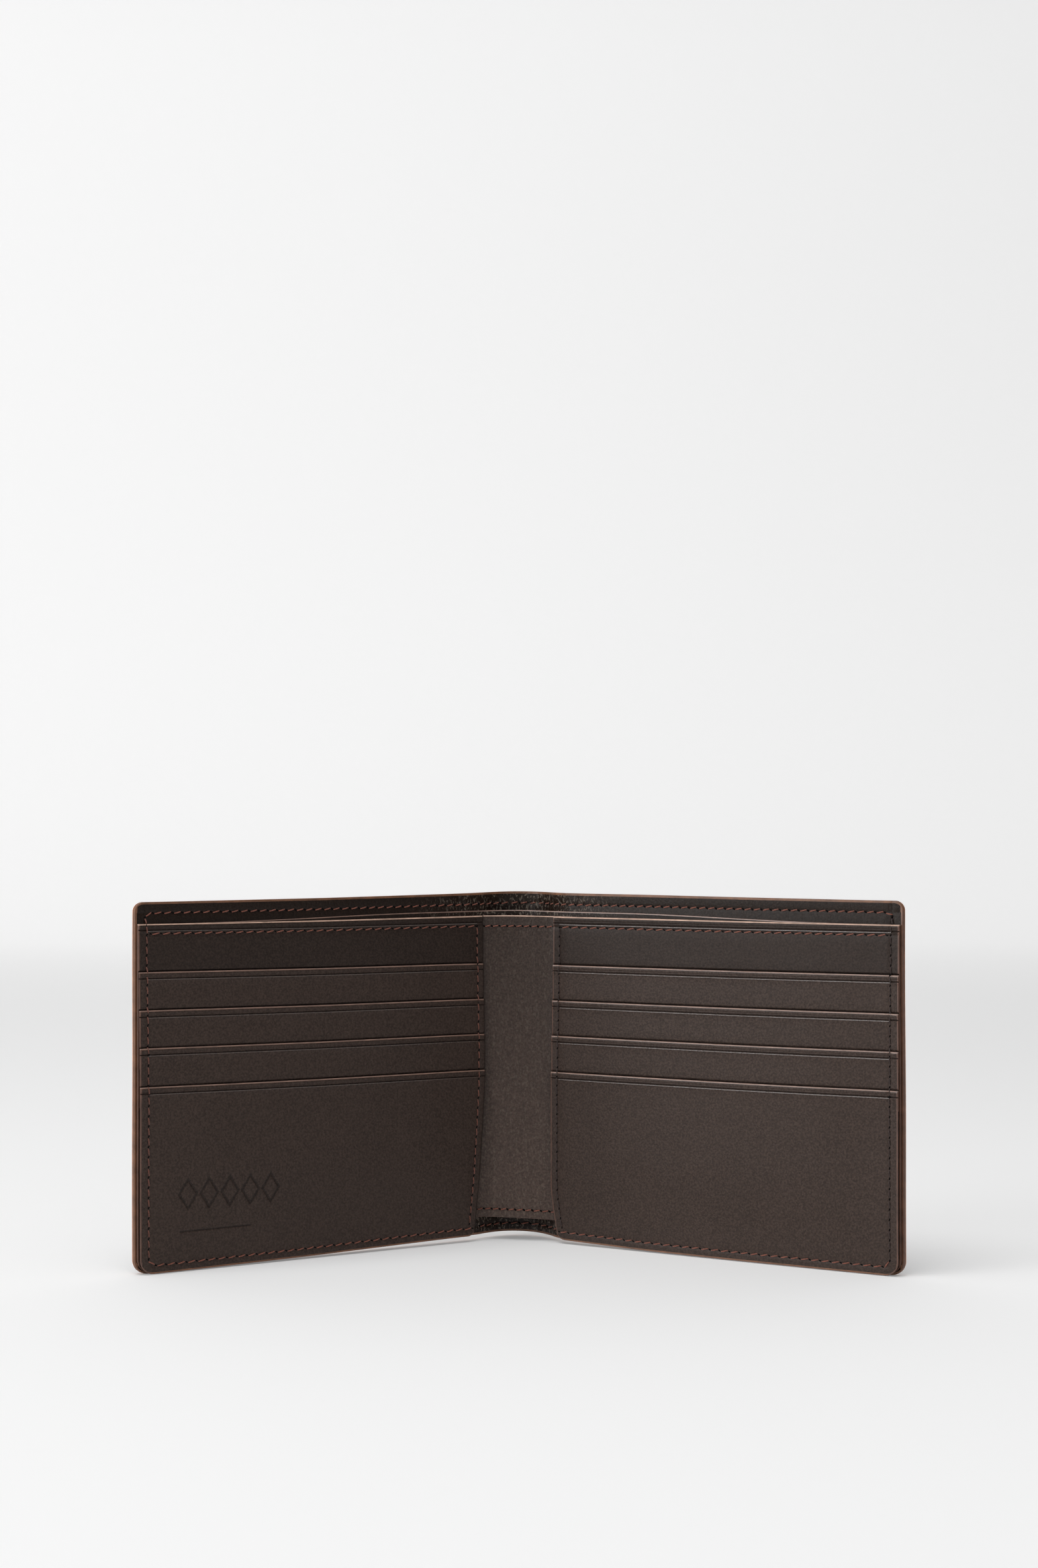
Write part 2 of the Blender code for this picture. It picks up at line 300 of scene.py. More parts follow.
BOW_REACH = 6.5 * MM
FLARE_REACH = 25 * MM
FLARE_POWER = 1.4


def along_curve(curve, side, bow=0.0):
    """Place function of a sheet that runs on to the middle of the spine. bow is how much further back its
    top lies than its foot there."""
    def place(a, z, depth):
        s = SIGNS[side] * (curve.length[side] - a)
        back = bow * (z / HEIGHT - 0.5) * np.exp(-((s / BOW_REACH) ** 2))
        return risen(curve.at(s, depth + swell(side, a, z, np.abs(s)), back), z)
    return place


def flat_half(side):
    """Place function of a sheet that ends at the inner edge of the card panel."""
    stretch = (PANEL_OUTER_REACH - PANEL_INNER_REACH[side]) / PANEL_WIDTH

    def place(a, z, depth):
        low = np.clip(1 - z / FLARE_HEIGHT[side], 0.0, 1.0)
        flare = FLARE[side] * low**FLARE_POWER * smooth(a, PANEL_WIDTH - FLARE_REACH, PANEL_WIDTH)
        reach = PANEL_OUTER_REACH - a * stretch + flare
        return risen(half_plan(side, reach, depth + swell(side, a, z, reach)), z)
    return place


# ---- layer faces

def pinch(distance):
    return 1.0 - smooth(distance, PINCH_START, PINCH_END)


def layer_front(layer, a, z, panel):
    """Depth of a layer's face towards the pockets. panel is true for layers that end at the inner seam."""
    free, outer, inner, _ = LAYERS[layer]
    held = np.maximum(pinch(a), pinch(z))
    depth = free + (outer - free) * held
    if panel:
        depth = depth + (inner - depth) * pinch(PANEL_WIDTH - a) * (1 - pinch(z))
    return depth


def dent(distance, width, depth):
    return -depth * np.exp(-((distance / width) ** 2))


# Profile under the edge of a pocket: distance below the edge, half width, and depth, negative where the
# leather is raised
CREASES = (
    (CREASE_DROP, 0.16 * MM, 0.28 * MM),
    (0.66 * CREASE_DROP, 0.13 * MM, 0.06 * MM),
    (0.45 * CREASE_DROP, 0.5 * MM, -0.08 * MM),
    (CREASE_DROP + 0.40 * MM, 0.2 * MM, -0.05 * MM),
)


def crease(below_top):
    """Pressed line under the edge of a pocket, with a fainter one above it."""
    return sum(dent(below_top - drop, width, depth) for drop, width, depth in CREASES)


MOUTH_DEPTH = 0.26 * MM
MOUTH_START = 0.05 * MM
MOUTH_END = 0.60 * MM


def mouth(above_edge):
    """A layer's face gives way just above the edge of the pocket in front of it."""
    return -MOUTH_DEPTH * (1 - smooth(above_edge, MOUTH_START, MOUTH_END))


def sunk(distance):
    """A face is drawn in along its seams."""
    return dent(distance, 0.4 * MM, 0.10 * MM)


def nearest_row(a, z, columns, rows):
    """Distance to the nearest of some upright and level seams."""
    return np.minimum.reduce([np.abs(a - column) for column in columns] + [np.abs(z - row) for row in rows])


# ---- meshes

def make_object(name, points, faces, materials, indices=None, flat=()):
    mesh = bpy.data.meshes.new(name)
    mesh.from_pydata([tuple(p) for p in points], [], faces)
    for material in materials:
        mesh.materials.append(material)
    if indices is not None:
        mesh.polygons.foreach_set("material_index", np.asarray(indices, np.int32))
    shading = np.ones(len(faces), bool)
    shading[list(flat)] = False
    mesh.polygons.foreach_set("use_smooth", shading)
    mesh.validate()
    item = bpy.data.objects.new(name, mesh)
    bpy.context.scene.collection.objects.link(item)
    return item


CLOSEST_LINES = 0.004 * MM


def grid_lines(start, end, fine, step):
    """Sorted lines from start to end, with all the fine ones and even steps between them."""
    kept = sorted({round(v, 8) for v in [start, end, *fine] if start <= v <= end})
    lines = [kept[0]]
    for value in kept[1:]:
        base = lines[-1]
        gap = value - base
        if gap < CLOSEST_LINES:
            continue
        count = max(1, math.ceil(gap / step - 1e-6))
        lines += [base + gap * k / count for k in range(1, count + 1)]
    return np.array(lines)


RIM_STEPS = (0.05, 0.22, 0.55, 1.0, 1.6)
GROOVE_STEPS = (-0.7, -0.4, -0.2, 0.0, 0.2, 0.4, 0.7)
CORNER_ZONE = 12 * MM
TOP_EDGE_BAND = 0.33 * MM
LINING_PAINT = 0.55 * MM
PANEL_PAINT = 0.34 * MM
FOOT_PAINT = 0.42 * MM


def rim_lines(edge, direction, radius):
    return [edge + direction * radius * k for k in RIM_STEPS]


def edged_lines(low, high, low_rim, high_rim, fine, step):
    """Lines from low to high, close together on a rounded rim at each end; no rim at the end if it is 0."""
    rims = rim_lines(low, 1, low_rim) + (rim_lines(high, -1, high_rim) if high_rim else [])
    return grid_lines(low, high, rims + fine, step)


def groove_lines(centre):
    return [centre + k * MM for k in GROOVE_STEPS]


def corner_lines(radius):
    return [radius * (1 - math.cos(math.radians(angle))) for angle in range(15, 91, 15)]


def rim_profile(distance, radius):
    t = np.clip(distance / radius, 0.0, 1.0)
    return np.sqrt(np.maximum(0.0, 1.0 - (1.0 - t) ** 2))


def rounded_grid(a_lines, z_lines, radii):
    """Grid places of a sheet whose corners are rounded, and the distance of each to the nearest edge but
    the inner one. radii: outer bottom, outer top and, if given, inner bottom."""
    low, high = z_lines[0], z_lines[-1]
    grid_a, grid_z = np.meshgrid(a_lines, z_lines, indexing="ij")
    spans = ((grid_a, low, 1.0), (grid_a, high, -1.0), (a_lines[-1] - grid_a, low, 1.0))
    corners = [(radius, *span) for radius, span in zip(radii, spans) if radius]
    for radius, across, base, direction in corners:
        inset = np.clip(radius - across, 0.0, radius)
        rise = radius - np.sqrt(radius**2 - inset**2)
        share = np.clip(1 - np.abs(grid_z - base) / CORNER_ZONE, 0.0, 1.0)
        grid_z = grid_z + direction * rise * share
    edge = np.minimum(grid_a, np.minimum(grid_z - low, high - grid_z))
    for radius, across, base, direction in corners:
        height = direction * (grid_z - base)
        arc = radius - np.hypot(radius - across, radius - height)
        edge = np.where((across < radius) & (height < radius), np.maximum(arc, 0.0), edge)
    return grid_a, grid_z, edge


def quads(index):
    """Faces between the neighbours of a grid of point numbers."""
    return np.stack([index[:-1, :-1], index[1:, :-1], index[1:, 1:], index[:-1, 1:]], -1).reshape(-1, 4)


def face_mean(values):
    return (values[:-1, :-1] + values[1:, :-1] + values[1:, 1:] + values[:-1, 1:]).ravel() / 4


def sheet(name, side, place, a_lines, z_lines, faces, materials, corners, rim, top_rim=None,
          closed=True, paint=None, back_rim=1, zones=None):
    """Closed sheet with rounded rims.

    faces(a, z) gives its two depths; corners are the radii of its rounded corners; materials are surface,
    painted edge and, if given, top edge; paint is how far in from the rim the paint reaches; back_rim is
    the number of the material on the rim's back. closed is False where the sheet meets its other half at
    the spine. zones(a, z) gives the numbers of further materials on the front, 0 where it has none.
    """
    grid_a, grid_z, edge = rounded_grid(a_lines, z_lines, corners)
    if closed:
        edge = np.minimum(edge, a_lines[-1] - grid_a)
    profile = rim_profile(edge, rim)
    below_top = z_lines[-1] - grid_z
    if top_rim:
        profile = np.minimum(profile, rim_profile(below_top, top_rim))
    back, front = faces(grid_a, grid_z)
    centre = (back + front) / 2
    half = (front - back) / 2 * profile
    columns, rows = grid_a.shape
    border = np.zeros((columns, rows), bool)
    border[0, :] = border[:, 0] = border[:, -1] = True
    border[-1, :] |= closed
    half[border] = 0.0
    front_points = place(grid_a, grid_z, centre + half).reshape(-1, 3)
    back_points = place(grid_a, grid_z, centre - half).reshape(-1, 3)
    front_index = np.arange(columns * rows).reshape(columns, rows)
    back_index = front_index.copy()
    back_index[~border] = columns * rows + np.arange((~border).sum())
    points = np.concatenate([front_points, back_points[(~border).ravel()]])

    front_faces = quads(front_index)
    back_faces = quads(back_index)[:, ::-1]
    if side == "right":
        front_faces, back_faces = front_faces[:, ::-1], back_faces[:, ::-1]
    painted = face_mean(edge) < (paint or rim)
    index = painted.astype(int)
    if top_rim:
        index = np.where(face_mean(below_top) < TOP_EDGE_BAND, 2, index)
    if zones:
        zone = zones(face_mean(grid_a), face_mean(grid_z))
        index = np.where(zone > 0, zone, index)
    face_list = np.concatenate([front_faces, back_faces]).tolist()
    indices = np.concatenate([index, np.where(painted, back_rim, 0)]).tolist()
    flat = []
    if not closed:
        for j in range(rows - 1):
            loop = [front_index[-1, j], back_index[-1, j], back_index[-1, j + 1], front_index[-1, j + 1]]
            loop = list(dict.fromkeys(int(v) for v in loop))
            if side == "left":
                loop.reverse()
            flat.append(len(face_list))
            face_list.append(loop)
            indices.append(1)
    return make_object(name, points, face_list, materials, indices, flat)


# ---- materials

def srgb(red, green, blue):
    """Linear colour of a display colour given from 0 to 255."""
    values = [v / 255 for v in (red, green, blue)]
    return tuple(v / 12.92 if v <= 0.04045 else ((v + 0.055) / 1.055) ** 2.4 for v in values) + (1.0,)


def scaled(color, factor):
    return tuple(c * factor for c in color[:3]) + (1.0,)


class Nodes:
    """Node tree of a material or of the world, with its place on the object or in the sky."""

    def __init__(self, owner, place="Object"):
        owner.use_nodes = True
        self.owner = owner
        self.tree = owner.node_tree
        self.place = self.node("TexCoord").outputs[place]

    def node(self, kind, values=(), **settings):
        """New node; values are its inputs, by name or number."""
        node = self.tree.nodes.new(f"ShaderNode{kind}")
        for name, value in settings.items():
            setattr(node, name, value)
        self.feed(node, dict(values))
        return node

    def feed(self, node, values):
        """Links an input where its value is an output of another node, sets it otherwise."""
        for name, value in values.items():
            if isinstance(value, bpy.types.NodeSocket):
                self.tree.links.new(value, node.inputs[name])
            else:
                node.inputs[name].default_value = value

    def axis(self, name):
        return self.node("SeparateXYZ", {"Vector": self.place}).outputs[name]

    def squeezed(self, scale):
        """Place with its axes scaled."""
        return self.node("Mapping", {"Scale": scale, "Vector": self.place}).outputs["Vector"]

    def noise(self, size, detail=2.0, roughness=0.5, vector=None, distortion=0.0):
        """Noise whose features are about size metres wide."""
        values = {"Scale": 1.0 / size, "Detail": detail, "Roughness": roughness, "Distortion": distortion}
        return self.node("TexNoise", {**values, "Vector": vector or self.place}).outputs["Fac"]

    def pebbles(self, size):
        """Soft cells about size metres wide."""
        values = {"Scale": 1.0 / size, "Smoothness": 0.4, "Vector": self.place}
        return self.node("TexVoronoi", values, feature="SMOOTH_F1").outputs["Distance"]

    def math(self, operation, first, second=0.0):
        return self.node("Math", {0: first, 1: second}, operation=operation).outputs["Value"]

    def blend(self, factor, first, second):
        values = {"Factor": factor, "A": first, "B": second}
        return self.node("Mix", values, data_type="RGBA").outputs["Result"]

    def ramp(self, factor, low, high, first=(0, 0, 0, 1), second=(1, 1, 1, 1)):
        node = self.node("ValToRGB", {"Fac": factor})
        for element, position, color in zip(node.color_ramp.elements, (low, high), (first, second)):
            element.position = position
            element.color = color
        return node.outputs["Color"]

    def graded(self, value, start, end, first, last, curve="SMOOTHSTEP"):
        """first where value is start, last where it is end, and graded between them."""
        values = {"Value": value, "From Min": start, "From Max": end, "To Min": first, "To Max": last}
        return self.node("MapRange", values, interpolation_type=curve).outputs["Result"]

    def by_height(self, color, foot, top):
        """Colour times a factor that runs from foot, near the floor, to top, near the upper edge."""
        factor = self.graded(self.axis("Z"), 0.15 * HEIGHT, 0.85 * HEIGHT, foot, top, "LINEAR")
        values = {"Vector": color, "Scale": factor}
        return self.node("VectorMath", values, operation="SCALE").outputs["Vector"]

    def near_middle(self, reach):
        """1 at the middle of the spine, 0 from reach metres beside it."""
        beside = self.math("ABSOLUTE", self.math("SUBTRACT", self.axis("X"), float(MIDDLE[0])))
        return self.graded(beside, 0.2 * reach, reach, 1.0, 0.0)

    def bump(self, height, distance, strength, before=None):
        values = {"Strength": strength, "Distance": distance, "Height": height}
        if before is not None:
            values["Normal"] = before
        return self.node("Bump", values).outputs["Normal"]


def finish(nodes, color, roughness, normal=None, **others):
    """Feeds the shader of a material and returns the material."""
    values = {"Base Color": color, "Roughness": roughness, **others}
    if normal is not None:
        values["Normal"] = normal
    nodes.feed(nodes.tree.nodes["Principled BSDF"], values)
    return nodes.owner


SPECULAR = "Specular IOR Level"


def grey(value):
    return (value, value, value, 1.0)


# Painted glints: reach, size and colour of the pale specks near the spine
GLINT_REACH = 32 * MM
GLINT_SIZE = 0.52 * MM
PAINTED_GLINT_COLOR = (0.140, 0.113, 0.090, 1.0)
FLATTENED = (1.0, 1.0, 0.6)
UPRIGHT = (1.0, 1.0, 0.16)
GRAIN_SHARE = 0.72


def leather(name, color, roughness, grain=0.6 * MM, grain_depth=0.12 * MM, wrinkle=0.0, specular=0.10,
            gloss=0.11, painted_glints=0.0, foot=None):
    """Fine-grained calfskin: pebbled cells, pores and slow colour change.

    If asked, upright wrinkles; painted glints, sparse pale specks near the spine that stand in for the
    sparkle of the grain; and a colour factor at the foot and at the top, painted light that changes by height.
    """
    nodes = Nodes(bpy.data.materials.new(name))
    slow = nodes.ramp(nodes.noise(14 * MM, 3.0, 0.55), 0.3, 0.7)
    fine = nodes.ramp(nodes.noise(0.52 * MM, 3.0, 0.6), 0.38, 0.64)
    tone = nodes.blend(slow, scaled(color, 0.86), scaled(color, 1.14))
    speckle = nodes.blend(fine, scaled(color, 0.62), scaled(color, 1.40))
    surface = nodes.blend(GRAIN_SHARE, tone, speckle)
    pores = nodes.noise(grain * 0.55, 2.0, 0.6)
    height = nodes.math(
        "ADD", nodes.math("MULTIPLY", nodes.pebbles(grain), -0.8), nodes.math("MULTIPLY", pores, 0.7))
    normal = nodes.bump(height, grain_depth, 0.9)
    if wrinkle:
        folds = nodes.noise(1.1 * MM, 3.0, 0.6, nodes.squeezed(UPRIGHT), 0.4)
        normal = nodes.bump(folds, wrinkle, 0.8, normal)
    polished, dull = grey(roughness * 0.9), grey(min(1, roughness * 1.12))
    worn = nodes.ramp(nodes.noise(5 * MM, 2.0, 0.5), 0.25, 0.75, polished, dull)
    if painted_glints:
        glint_specks = nodes.ramp(nodes.noise(GLINT_SIZE, 1.0, 0.5, nodes.squeezed(FLATTENED), 0.5), 0.54, 0.68)
        share = nodes.math("MULTIPLY", glint_specks, nodes.near_middle(GLINT_REACH))
        surface = nodes.blend(nodes.math("MULTIPLY", share, painted_glints), surface, PAINTED_GLINT_COLOR)
    # Painted light: colour scaled by height
    if foot:
        surface = nodes.by_height(surface, *foot)
    coat = {"Coat Weight": gloss, "Coat Roughness": 0.28}
    return finish(nodes, surface, worn, normal, **{SPECULAR: specular, **coat})


def mottled(name, color, roughness, size, spread, depth, strength, specular, bump_size=None):
    """Material whose colour varies by a share, spread, up and down over features of a size."""
    nodes = Nodes(bpy.data.materials.new(name))
    pattern = nodes.noise(size, 3.0, 0.6)
    tone = nodes.blend(nodes.ramp(pattern, 0.3, 0.7), scaled(color, 1 - spread), scaled(color, 1 + spread))
    if bump_size:
        pattern = nodes.noise(bump_size, 2.0, 0.5)
    return finish(nodes, tone, roughness, nodes.bump(pattern, depth, strength), **{SPECULAR: specular})


def edge_paint(name, color, roughness=0.42, specular=0.5):
    """Burnished, painted cut edge with faint unevenness."""
    return mottled(name, color, roughness, 3 * MM, 0.3, 0.03 * MM, 0.7, specular, 0.5 * MM)


def plain_material(name, color, roughness, size, specular=0.3):
    return mottled(name, color, roughness, size, 0.25, 0.05 * MM, 0.5, specular)


def thread_material(name, color):
    nodes = Nodes(bpy.data.materials.new(name))
    plies = nodes.noise(0.18 * MM, 2.0, 0.6)
    tone = nodes.blend(nodes.ramp(plies, 0.3, 0.7), scaled(color, 0.6), scaled(color, 1.5))
    normal = nodes.bump(plies, 0.04 * MM, 0.8)
    return finish(nodes, tone, 0.55, normal, **{SPECULAR: 0.4, "Sheen Weight": 0.2})


COCOA = (0.0490, 0.0329, 0.0266, 1.0)
LINING_BROWN = (0.0165, 0.0094, 0.0064, 1.0)
cover_leather = leather("cover_leather", COCOA, 0.48)
# The lining carries painted glints near the spine
lining_leather = leather("lining_leather", LINING_BROWN, 0.32, 0.55 * MM, 0.14 * MM, wrinkle=0.34 * MM,
                         gloss=0.14, painted_glints=1.0)
# Painted shade: the backing, seen as the band above the first pocket, is darker for the dimmer light near the
# top
shaded_backing_leather = leather("shaded_backing_leather", scaled(COCOA, 0.66), 0.50)
# Painted shade: a darker copy of the leather for creases, the ornament's deep recesses and the left panel's
# inner edge
painted_shade_leather = leather("painted_shade_leather", scaled(COCOA, 0.55), 0.42)
# Painted glint: a lighter copy of the leather on the lip under each crease; its gloss and specular are real
painted_glint_leather = leather("painted_glint_leather", scaled(COCOA, 1.35), 0.25, specular=0.9, gloss=0.9)
slot_shadow = leather("slot_shadow", scaled(COCOA, 0.3), 0.60)
pocket_leather = leather("pocket_leather", COCOA, 0.50)
# Painted light: the bridge's colour is 1.28 times at the foot and 0.78 times at the top, as if lit from below;
# painted glints near the spine
bridge_leather = leather("bridge_leather", scaled(COCOA, 1.14), 0.42, wrinkle=0.36 * MM, specular=0.16,
                         painted_glints=0.28, foot=(1.28, 0.78))
cover_edge = edge_paint("cover_edge_paint", srgb(114, 77, 54))
# Painted highlight: the edge paint on the shell's back rim made far brighter to stand in for rim light
cover_edge_painted_highlight = edge_paint("cover_edge_paint_painted_highlight", srgb(196, 120, 62))
# Painted shade: a darker copy of the edge paint for the right half's outer end
shaded_side_edge = edge_paint("side_edge_paint", srgb(98, 66, 50))
panel_edge = edge_paint("panel_edge_paint", srgb(90, 61, 48))
raw_edge = edge_paint("pocket_edge", srgb(126, 98, 85), 0.30, 0.9)
# Painted highlight: the pale raw edge made brighter on the tops of the bridge and the backing; partly the
# edge's own colour
bridge_edge_painted_highlight = edge_paint("bridge_edge_painted_highlight", srgb(184, 152, 134), 0.36)
board_material = plain_material("board", srgb(150, 118, 88), 0.9, 0.6 * MM)
fabric_material = plain_material("pocket_fabric", srgb(52, 42, 38), 0.85, 0.3 * MM)
thread = thread_material("thread", srgb(119, 66, 49))
# Painted shade: darker copies of the thread for the upright rows, nearly black on the right half
shaded_upright_thread = {
    "left": thread_material("upright_thread_left", srgb(104, 59, 45)),
    "right": thread_material("upright_thread_right", srgb(42, 25, 20)),
}
# Painted shade: near-black lenses in place of the shadow inside each needle hole
hole_shade_material = plain_material("needle_hole_shade", (0.004, 0.003, 0.003, 1.0), 0.9, 0.2 * MM, 0.1)


# ---- sheets of the wallet

LINE_STEP = 2.0 * MM
COARSE_STEP = 3.0 * MM
SHELL_RIM = 0.42 * MM
LINING_RIM = 0.16 * MM
THIN_RIM = 0.10 * MM
FREE_TOP_RIM = 0.15 * MM
POCKET_TOP_RIM = 0.28 * MM
COVER_ROW = HEIGHT - COVER_TOP_MARGIN
PANEL_ROW = PANEL_TOP - PANEL_TOP_MARGIN
INNER_ROW = PANEL_WIDTH - INNER_MARGIN


def bend_with(item, side):
    """Bakes a piece's transform into its points; nothing is bent here."""
    if side == "left":
        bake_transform(item)
    else:
        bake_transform(item)


def layer_faces(layer, panel=False, relief=None):
    """Face function of a layer, with an uneven face towards the pockets if relief is given."""
    def faces(a, z):
        front = layer_front(layer, a, z, panel)
        shown = front + relief(a, z) if relief else front
        return front - LAYERS[layer][3], shown
    return faces


def cover_rows(a, z):
    return nearest_row(a, z, [COVER_SIDE_MARGIN], [BOTTOM_MARGIN, COVER_ROW])


END_STEP = 0.06 * MM


def spine_columns(length, step=0.7 * MM, count=30):
    """Closely spaced columns where a sheet bends or wrinkles."""
    return [length - END_STEP * 2**k for k in range(5)] + [length - step * k for k in range(count)]


def cover_grid(length, rim, columns, insets=()):
    """Columns and rows of a sheet of the cover."""
    columns = [*columns, *insets, *corner_lines(CORNER_RADIUS), *groove_lines(COVER_SIDE_MARGIN)]
    rows = [*insets, *(HEIGHT - inset for inset in insets)]
    rows += groove_lines(BOTTOM_MARGIN) + groove_lines(COVER_ROW)
    a_lines = edged_lines(0.0, length, rim, 0, columns, LINE_STEP)
    return a_lines, edged_lines(0.0, HEIGHT, rim, rim, rows, LINE_STEP)


# Number of the painted shade on the front of the right half's outer end: its edge paint darkened where it faces
# away from the light
OUTER_BAND = 3
# Wrinkles of the lining: two heights, and how far from the middle they begin and are full
RIPPLES = (0.09 * MM, 0.035 * MM)
RIPPLE_START = 45 * MM
RIPPLE_FULL = 8 * MM


def build_cover(side):
    length = cover_line.length[side]
    place = along_curve(cover_line, side)
    corners = (CORNER_RADIUS, TOP_CORNER_RADIUS)
    edges = [cover_edge, cover_edge_painted_highlight, shaded_side_edge]

    def shell_faces(a, z):
        return -sunk(cover_rows(a, z)), np.full_like(a, LAYERS["shell"][0])

    def lining_relief(a, z):
        near_spine = smooth(a, length - RIPPLE_START, length - RIPPLE_FULL)
        top = smooth(z, DIVIDER_TOP - 6 * MM, DIVIDER_TOP + 1 * MM)
        coarse = np.sin(a / (1.15 * MM) + 1.7 * np.sin(a / (5 * MM)))
        fine = np.sin(a / (0.25 * MM) + 1.5 * np.sin(z / (1.3 * MM) + a / (3 * MM)))
        return sunk(cover_rows(a, z)) + (RIPPLES[0] * coarse + RIPPLES[1] * fine) * near_spine * top

    def zones(a, z):
        # Painted shade on the right half's outer end
        outer = (a < LINING_PAINT) & (z < HEIGHT - TOP_CORNER_RADIUS) & (side == "right")
        return np.where(outer, OUTER_BAND, 0)

    a_lines, z_lines = cover_grid(length, SHELL_RIM, spine_columns(length))
    shell = sheet(f"outer_cover_{side}", side, place, a_lines, z_lines, shell_faces, [cover_leather, *edges],
                  corners, SHELL_RIM, closed=False, back_rim=2, zones=zones)
    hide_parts(f"cover_shell_{side}", "cover_shell_spine")
    bend_with(shell, side)

    columns = corner_lines(TOP_CORNER_RADIUS) + spine_columns(length, 0.3 * MM, 150)
    a_lines, z_lines = cover_grid(length, LINING_RIM, columns, [SHELL_RIM, LINING_PAINT])
    faces = layer_faces("lining", relief=lining_relief)
    lining = sheet(f"lining_{side}", side, place, a_lines, z_lines, faces, [lining_leather, *edges], corners,
                   LINING_RIM, closed=False, paint=LINING_PAINT, zones=zones)
    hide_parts(f"cover_lining_{side}", "cover_lining_spine")
    bend_with(lining, side)


BOARD_INSET = 4.0 * MM
BOARD_STEP = 6.0 * MM


def build_board(side):
    a_lines = grid_lines(BOARD_INSET, PANEL_WIDTH - BOARD_INSET, [], BOARD_STEP)
    z_lines = grid_lines(BOARD_INSET, HEIGHT - BOARD_INSET, [], BOARD_STEP)
    board = sheet(f"board_{side}", side, flat_half(side), a_lines, z_lines, layer_faces("board"),
                  [board_material, board_material], (), 0.05 * MM)
    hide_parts(f"cover_reinforcement_{side}")
    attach(board, f"{side}_half")


# Height up to which the foot of an inner sheet is lifted, floors of the sheets, and how far their tops lie
# further back than their feet at the spine
FADE = 20 * MM
DIVIDER_FLOOR = 0.3 * MM
DIVIDER_BOW = 1.0 * MM
WALL_FLOOR = 0.25 * MM
WALL_BOW = 1.4 * MM
WALL_LIFT = BRIDGE_FLOOR - HEM_DROP - WALL_FLOOR


def build_divider(side):
    length = divider_line.length[side]
    place = along_curve(divider_line, side, DIVIDER_BOW)
    columns = corner_lines(CORNER_RADIUS) + spine_columns(length)
    a_lines = edged_lines(0.0, length, THIN_RIM, 0, columns, COARSE_STEP)
    z_lines = edged_lines(DIVIDER_FLOOR, DIVIDER_TOP, THIN_RIM, FREE_TOP_RIM, [], 4.0 * MM)

    def lifted(a, z, depth):
        foot = (BRIDGE_FLOOR + 0.4 * MM) * smooth(a, length - 14 * MM, length - 9 * MM)
        share = np.clip(1 - (z - DIVIDER_FLOOR) / FADE, 0, 1)
        outer = 1 - smooth(a, 8 * MM, 80 * MM)
        drop = (DIVIDER_TOP - PANEL_TOP) * outer * smooth(z, 60 * MM, 84 * MM)
        return place(a, z + foot * share - drop, depth)

    divider = sheet(f"divider_{side}", side, lifted, a_lines, z_lines, layer_faces("divider"),
                    [lining_leather, panel_edge, raw_edge], (CORNER_RADIUS,), THIN_RIM, FREE_TOP_RIM,
                    closed=False)
    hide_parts(f"bill_divider_{side}", "bill_divider_spine")
    bend_with(divider, side)


def build_wall(side):
    length = wall_line.length[side]
    place = along_curve(wall_line, side, WALL_BOW)
    hem_row = BRIDGE_FLOOR + HEM_MARGIN
    hem_line = (hem_row - HEM_DROP - WALL_LIFT * (1 + WALL_FLOOR / FADE)) / (1 - WALL_LIFT / FADE)
    columns = corner_lines(CORNER_RADIUS) + spine_columns(length, 0.5 * MM, 36)
    rows = groove_lines(PANEL_ROW) + groove_lines(hem_line)
    a_lines = edged_lines(0.0, length, THIN_RIM, 0, columns, COARSE_STEP)
    z_lines = edged_lines(WALL_FLOOR, PANEL_TOP, THIN_RIM, FREE_TOP_RIM, rows, LINE_STEP)

    def relief(a, z):
        bridge = smooth(a, length - 12 * MM, length - 8 * MM)
        folds = np.sin(a / (0.55 * MM) + 2.3 * np.sin(z / (19 * MM))) * np.sin(a / (2.9 * MM) + 1.0)
        return bridge * (sunk(z - PANEL_ROW) + sunk(z - hem_line) + 0.02 * MM * folds)

    def lifted(a, z, depth):
        foot = WALL_LIFT * smooth(a, length - 13 * MM, length - 12 * MM)
        return place(a, z + foot * np.clip(1 - (z - WALL_FLOOR) / FADE, 0, 1), depth)

    wall = sheet(f"inner_wall_and_bridge_{side}", side, lifted, a_lines, z_lines,
                 layer_faces("wall", relief=relief), [bridge_leather, panel_edge, bridge_edge_painted_highlight],
                 (CORNER_RADIUS,), THIN_RIM, FREE_TOP_RIM, closed=False)
    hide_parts(f"inner_wall_{side}", "bridge")
    bend_with(wall, side)


def panel_rows(a, z):
    return nearest_row(a, z, [SIDE_MARGIN, INNER_ROW], [BOTTOM_MARGIN, PANEL_ROW])


DIAMOND_START = 12.5 * MM
DIAMOND_STEP = 5.6 * MM
DIAMOND_COUNT = 5
DIAMOND_HEIGHT = 18.4 * MM
DIAMOND_HALVES = (2.3 * MM, 3.4 * MM)
BAR_MIDDLE = 20 * MM
BAR_HALF = 9.5 * MM
BAR_HEIGHT = 9.6 * MM
ORNAMENT_STEP = 0.22 * MM
ORNAMENT_START = (9.6 * MM, 14.6 * MM)
ORNAMENT_LINES = (134, 36)
# Depth beyond which the ornament's recess gets painted shade
PRESSED_DEPTH = 0.06 * MM


